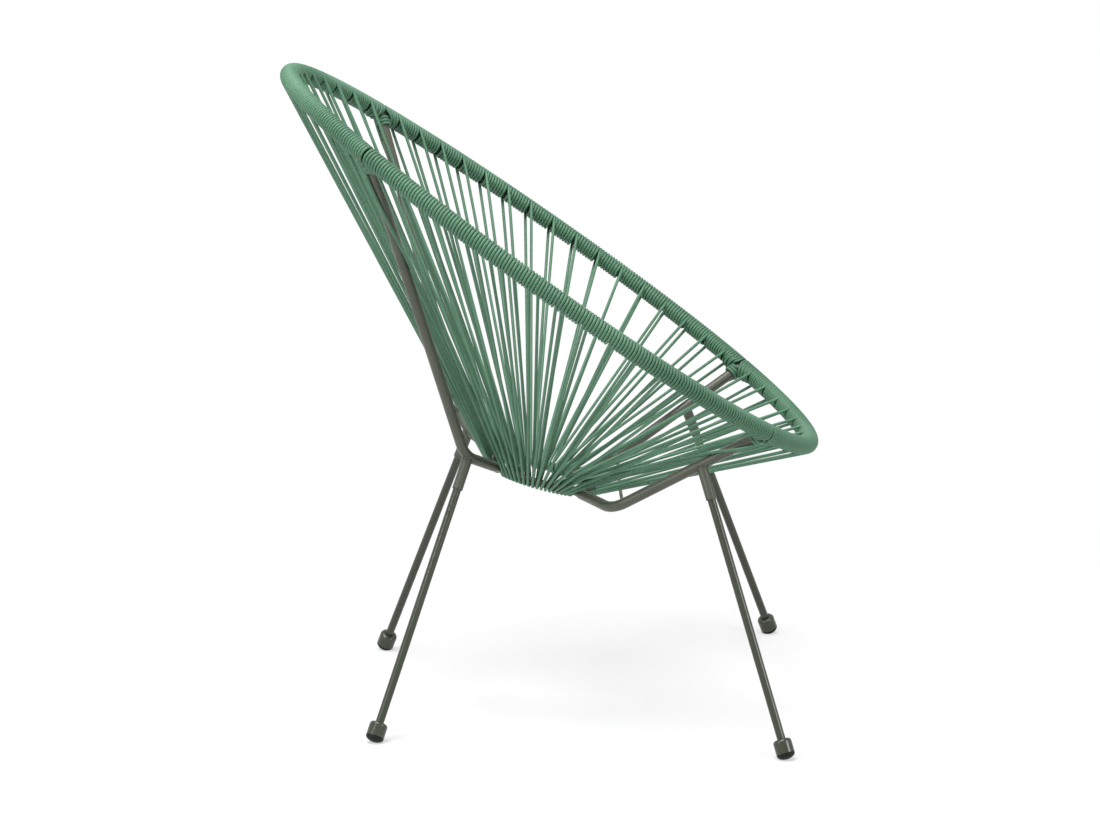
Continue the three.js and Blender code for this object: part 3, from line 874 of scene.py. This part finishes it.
def lashing_path(place, sign):
    """Turns of cord round a stay, close below the rim, with both ends tucked against the tube."""
    stay, cord = settings().stay, settings().cord
    joint = stay_corners(place, sign)[0]
    down, _, lean = stay_at_joint(place, sign)
    lean = (lean + down).normalized()
    slope = down.dot(lean)
    across = Vector((0, 0, 1)).cross(down).normalized()
    up = down.cross(across)
    steps = round(stay.lashing_turns * cord.turn_steps)
    tucked = 4
    points = []
    for i in range(steps + 1):
        turn = 2 * pi * i / cord.turn_steps
        sink = max(tucked - i, tucked - (steps - i), 0) / tucked
        reach = wound_radius(stay.radius) - sink * 2 * cord.radius
        ray = (across * cos(turn) + up * sin(turn)) * reach
        away = stay.lashing_start + stay.lashing_pitch * 2 * cord.radius * i / cord.turn_steps
        points.append(joint + ray + down * ((away - ray.dot(lean)) / slope))
    return points


# Operators

class CHAIR_OT_stage(Operator):
    """Makes the floor, the lamps and the camera"""
    bl_idname = "chair.stage"
    bl_label = "Stage"

    def execute(self, context):
        stage = settings().stage
        self.make_floor(stage)
        self.make_sky(stage)
        for name, place, width, power in LAMPS:
            self.make_lamp(name, place, width, getattr(stage, power))
        camera = bpy.data.cameras.new("camera")
        camera.lens = stage.lens
        camera.sensor_width = 36.0
        camera.sensor_fit = "HORIZONTAL"
        context.scene.camera = self.put_aimed(camera, stage.camera_place, stage.camera_aim)
        context.scene.view_settings.view_transform = "Standard"
        return {"FINISHED"}

    def put_aimed(self, data, place, aim):
        """Puts a lamp or a camera at a place and turns it to a point."""
        holder = add_object(data.name, data)
        holder.location = place
        ray = Vector(aim) - Vector(place)
        holder.rotation_euler = ray.to_track_quat("-Z", "Y").to_euler()
        return holder

    def seen_rays(self, nodes, link):
        """1 for what the camera, a reflection or clear material sees, 0 for light on the chair."""
        rays = add_node(nodes, "LightPath")
        reflected = add_node(nodes, "Math", "MAXIMUM")
        seen = add_node(nodes, "Math", "MAXIMUM")
        link(rays.outputs["Is Camera Ray"], reflected.inputs[0])
        link(rays.outputs["Is Glossy Ray"], reflected.inputs[1])
        link(reflected.outputs["Value"], seen.inputs[0])
        link(rays.outputs["Is Transmission Ray"], seen.inputs[1])
        return seen.outputs["Value"]

    def make_floor(self, stage):
        shape = bmesh.new()
        bmesh.ops.create_grid(shape, x_segments=1, y_segments=1, size=stage.floor_size / 2)
        mesh = bpy.data.meshes.new("floor")
        shape.to_mesh(mesh)
        shape.free()
        floor_piece = add_object("floor", mesh)
        mesh.materials.append(self.floor_finish())

    def floor_finish(self):
        """Pale matt floor that fades to the white of the backdrop away from the chair."""
        material, nodes, link, shader = new_material("floor")
        set_inputs(shader, {"Base Color": (0.9, 0.9, 0.9, 1.0), "Roughness": 0.9})
        place = add_node(nodes, "TexCoord")
        reach = add_node(nodes, "VectorMath", "LENGTH")
        fade = add_node(nodes, "MapRange", From_Min=0.5, From_Max=1.4, To_Min=0.5)
        fade.interpolation_type = "SMOOTHSTEP"
        both = add_node(nodes, "Math", "MULTIPLY")
        white = add_node(nodes, "Emission")
        seen = add_node(nodes, "MixShader")
        link(place.outputs["Object"], reach.inputs[0])
        link(reach.outputs["Value"], fade.inputs["Value"])
        link(fade.outputs["Result"], both.inputs[0])
        link(self.seen_rays(nodes, link), both.inputs[1])
        link(both.outputs["Value"], seen.inputs[0])
        link(shader.outputs["BSDF"], seen.inputs[1])
        link(white.outputs["Emission"], seen.inputs[2])
        link(seen.outputs["Shader"], nodes["Material Output"].inputs["Surface"])
        return material

    def make_sky(self, stage):
        """Even white light, seen by the camera and in reflections as plain white."""
        world = bpy.data.worlds.new("sky")
        world.use_nodes = True
        nodes = world.node_tree.nodes
        link = world.node_tree.links.new
        even = nodes["Background"]
        set_inputs(even, {"Color": opaque((1, 1, 1)), "Strength": stage.sky})
        white = add_node(nodes, "Background", Color=opaque((1, 1, 1)), Strength=1.0)
        mix = add_node(nodes, "MixShader")
        link(self.seen_rays(nodes, link), mix.inputs[0])
        link(even.outputs["Background"], mix.inputs[1])
        link(white.outputs["Background"], mix.inputs[2])
        link(mix.outputs["Shader"], nodes["World Output"].inputs["Surface"])
        bpy.context.scene.world = world

    def make_lamp(self, name, place, width, power):
        lamp = bpy.data.lights.new(name, "AREA")
        lamp.shape = "DISK"
        lamp.size = width
        lamp.energy = power
        self.put_aimed(lamp, place, LAMP_AIM)


class CHAIR_OT_rim(Operator):
    """Makes the bare tube of the rim"""
    bl_idname = "chair.rim"
    bl_label = "Rim"

    def execute(self, context):
        steps = 220
        points = [rim_point(2 * pi * i / steps) for i in range(steps)]
        mesh = tube_mesh("rim_hoop", [points], settings().rim.tube_radius, roundness=8, closed=True)
        # The bare tube wears the painted shade colour, which shows only through the slits in the
        # winding.
        add_piece("rim_hoop", mesh, rim_slit_shade(), ["rim_tube"])
        return {"FINISHED"}


class CHAIR_OT_cords(Operator):
    """Winds the four cords on the rim and leads them to the seat ring and back"""
    bl_idname = "chair.cords"
    bl_label = "Cords"

    def execute(self, context):
        table = RimTable()
        for quarter in quarters():
            name = quarter[0]
            paths = [quarter_path(table, quarter)]
            if name in dict(SIDES):
                paths += self.end_strands(quarter)
            length = sum((b - a).length for path in paths for a, b in zip(path, path[1:]))
            print(f"cord {name}: {length:.2f} m")
            mesh = tube_mesh(f"cord_{name}", paths, settings().cord.radius, CORD_ROUNDNESS)
            add_piece(f"cord_{name}", mesh, cord_plastic(), [f"seat_cord_{name}"])
        return {"FINISHED"}

    def end_strands(self, quarter):
        name, _, _, ring_from, ring_to, _ = quarter
        stay, cord, ring = settings().stay, settings().cord, settings().ring
        gap = (stay.end_radius + 2 * cord.hug + cord.radius) / ring.radius
        first, last = QUARTER_STAYS[name]
        return [end_strand(*first, 1, ring_from + gap), end_strand(*last, -1, ring_to - gap)]


class CHAIR_OT_lashings(Operator):
    """Lashes the winding to each stay below the rim"""
    bl_idname = "chair.lashings"
    bl_label = "Lashings"

    def execute(self, context):
        for place, side, sign in CORNERS:
            name = f"lashed_cord_{place}_{side}"
            path = lashing_path(place, sign)
            mesh = tube_mesh(name, [path], settings().cord.radius, CORD_ROUNDNESS)
            add_piece(name, mesh, cord_plastic(), [f"lashing_{place}_{side}"])
        return {"FINISHED"}


class CHAIR_OT_ring(Operator):
    """Makes the seat ring"""
    bl_idname = "chair.ring"
    bl_label = "Seat ring"

    def execute(self, context):
        steps = 96
        points = [ring_point(2 * pi * i / steps) for i in range(steps)]
        mesh = tube_mesh("ring_rod", [points], settings().ring.rod_radius, roundness=6, closed=True)
        add_piece("ring_rod", mesh, frame_paint(), ["seat_ring"])
        return {"FINISHED"}


class CHAIR_OT_stays(Operator):
    """Makes the four bent stays with the welds at their ends on the ring"""
    bl_idname = "chair.stays"
    bl_label = "Stays"

    def execute(self, context):
        stay = settings().stay
        for place, side, sign in CORNERS:
            path, shares = swaged(stay_path(place, sign))
            name = f"{place}_tube_{side}"
            mesh = tube_mesh(name, [path], stay.radius, roundness=10, shares=shares)
            add_piece(name, mesh, frame_paint(), [f"{place}_stay_{side}"])
            self.make_end_weld(place, side, path)
        return {"FINISHED"}

    def make_end_weld(self, place, side, path):
        """A bead round the stay's end, where it is welded to the ring."""
        stay = settings().stay
        end = path[-1]
        along = (path[-1] - path[-2]).normalized()
        across = along.orthogonal().normalized()
        up = along.cross(across)
        steps = 40
        points = [end + (across * cos(2 * pi * i / steps) + up * sin(2 * pi * i / steps))
                  * (stay.end_radius - stay.bead / 2) for i in range(steps)]
        name = f"{place}_ring_weld_{side}"
        mesh = tube_mesh(name, [points], stay.bead, BEAD_ROUNDNESS, closed=True)
        add_piece(name, mesh, frame_paint(), [])


class CHAIR_OT_tie_rods(Operator):
    """Makes the two thin rods between the stays"""
    bl_idname = "chair.tie_rods"
    bl_label = "Tie rods"

    def execute(self, context):
        stay = settings().stay
        rear = on_long_leg("rear", stay.rear_tie)
        rear.y -= stay.rear_tie_inset
        front = on_long_leg("front", stay.front_tie)
        self.make_rod("rear", rear, Vector((0, stay.rear_tie_bow, 0)))
        self.make_rod("front", front, Vector((0, 0, -stay.front_tie_bow)))
        return {"FINISHED"}

    def make_rod(self, place, end, bow):
        steps = 40
        points = []
        for i in range(steps + 1):
            across = 1 - 2 * i / steps
            points.append(Vector((across * end.x, end.y, end.z)) + bow * (1 - across * across))
        name = f"{place}_thin_rod"
        mesh = tube_mesh(name, [points], settings().stay.tie_radius, roundness=5)
        add_piece(name, mesh, frame_paint(), [f"{place}_tie_rod"])


class CHAIR_OT_legs(Operator):
    """Makes the legs, their sockets and the welds above them"""
    bl_idname = "chair.legs"
    bl_label = "Legs"

    def execute(self, context):
        for corner in CORNERS:
            self.make_leg(*corner)
        return {"FINISHED"}

    def make_leg(self, place, side, sign):
        leg, stay = settings().leg, settings().stay
        joint, _, rise, base = leg_line(place, sign)
        bore = leg.radius + leg.gap
        outer = bore + leg.socket_wall
        lip = leg.socket_wall / 3
        mouth = joint - rise * leg.socket_length
        top = leg.socket_length - stay.radius / 2
        profile = [(outer - lip, 0.0), (outer, lip), (outer, top), (bore, top), (bore, lip),
                   (bore + lip, 0.0)]
        name = f"{place}_socket_{side}"
        mesh = turned_mesh(name, profile, mouth, rise)
        add_piece(name, mesh, frame_paint(), [f"leg_socket_{place}_{side}"])

        low = base + rise * (leg.cap_floor + leg.gap)
        length = (joint - rise * (stay.radius + leg.top_inset) - low).length
        edge = leg.radius / 8
        profile = [(0.0, 0.0), (leg.radius - edge, 0.0), (leg.radius, edge),
                   (leg.radius, length - edge), (leg.radius - edge, length), (0.0, length)]
        name = f"{place}_rod_{side}"
        mesh = turned_mesh(name, profile, low, rise)
        add_piece(name, mesh, leg_paint(), [f"leg_{place}_{side}"])

        along = mirrored(socket_seat(place)[1], sign)
        loop = weld_loop(joint, -rise, outer, joint, along, stay.radius)
        name = f"{place}_socket_weld_{side}"
        mesh = tube_mesh(name, [loop], stay.bead, BEAD_ROUNDNESS, closed=True)
        add_piece(name, mesh, frame_paint(), [])


class CHAIR_OT_feet(Operator):
    """Makes the painted caps and the rubber pads under them"""
    bl_idname = "chair.feet"
    bl_label = "Feet"

    def execute(self, context):
        for place, side, sign in CORNERS:
            _, _, rise, base = leg_line(place, sign)
            self.make_cap(place, side, base, rise)
            self.make_pad(place, side, base, rise)
        return {"FINISHED"}

    def make_cap(self, place, side, base, rise):
        leg = settings().leg
        bore = leg.radius + leg.gap
        neck = bore + leg.cap_neck_wall
        steps = 8
        profile = [(0.0, leg.cap_seam), (leg.cap_radius - leg.cap_edge, leg.cap_seam),
                   (leg.cap_radius, leg.cap_seam + leg.cap_edge)]
        shoulder = leg.cap_length - leg.cap_shoulder
        for i in range(steps + 1):
            turn = pi / 2 * i / steps
            radius = neck + (leg.cap_radius - neck) * cos(turn)
            profile.append((radius, shoulder + leg.cap_shoulder * sin(turn)))
        profile += [(bore, leg.cap_length), (bore, leg.cap_floor), (0.0, leg.cap_floor)]
        name = f"{place}_cap_{side}"
        mesh = turned_mesh(name, profile, base, rise)
        add_piece(name, mesh, leg_paint(), [f"foot_cap_{place}_{side}"])

    def make_pad(self, place, side, base, rise):
        leg = settings().leg
        steps = 12
        turns = [pi / 2 * i / steps for i in range(steps + 1)]
        profile = [(leg.cap_radius * sin(turn), -leg.pad_drop * cos(turn)) for turn in turns]
        profile.append((0.0, 0.0))
        name = f"{place}_pad_{side}"
        mesh = turned_mesh(name, profile, base, rise, floor_cut=True)
        add_piece(name, mesh, pad_rubber(), [f"foot_pad_{place}_{side}"])


OPERATORS = (
    CHAIR_OT_stage, CHAIR_OT_rim, CHAIR_OT_cords, CHAIR_OT_lashings, CHAIR_OT_ring, CHAIR_OT_stays,
    CHAIR_OT_tie_rods, CHAIR_OT_legs, CHAIR_OT_feet,
)


class CHAIR_PT_panel(Panel):
    """Lists the chair's settings and the steps that make it"""
    bl_label = "Acapulco Chair"
    bl_idname = "CHAIR_PT_panel"
    bl_space_type = "VIEW_3D"
    bl_region_type = "UI"
    bl_category = "Chair"

    def draw(self, context):
        for operator in OPERATORS:
            self.layout.operator(operator.bl_idname)
        for name, group in SETTINGS:
            box = self.layout.box()
            box.label(text=name.capitalize())
            part = getattr(settings(), name)
            for key in group.__annotations__:
                box.prop(part, key)


def register():
    for _, group in SETTINGS:
        bpy.utils.register_class(group)
    bpy.utils.register_class(ChairSettings)
    bpy.types.Scene.acapulco_chair = PointerProperty(type=ChairSettings)
    for operator in OPERATORS:
        bpy.utils.register_class(operator)
    bpy.utils.register_class(CHAIR_PT_panel)


def unregister():
    bpy.utils.unregister_class(CHAIR_PT_panel)
    for operator in reversed(OPERATORS):
        bpy.utils.unregister_class(operator)
    del bpy.types.Scene.acapulco_chair
    bpy.utils.unregister_class(ChairSettings)
    for _, group in reversed(SETTINGS):
        bpy.utils.unregister_class(group)


def main():
    register()
    bpy.ops.chair.stage()
    bpy.ops.chair.rim()
    bpy.ops.chair.cords()
    bpy.ops.chair.lashings()
    bpy.ops.chair.ring()
    bpy.ops.chair.stays()
    bpy.ops.chair.tie_rods()
    bpy.ops.chair.legs()
    bpy.ops.chair.feet()


if __name__ == "__main__":
    main()
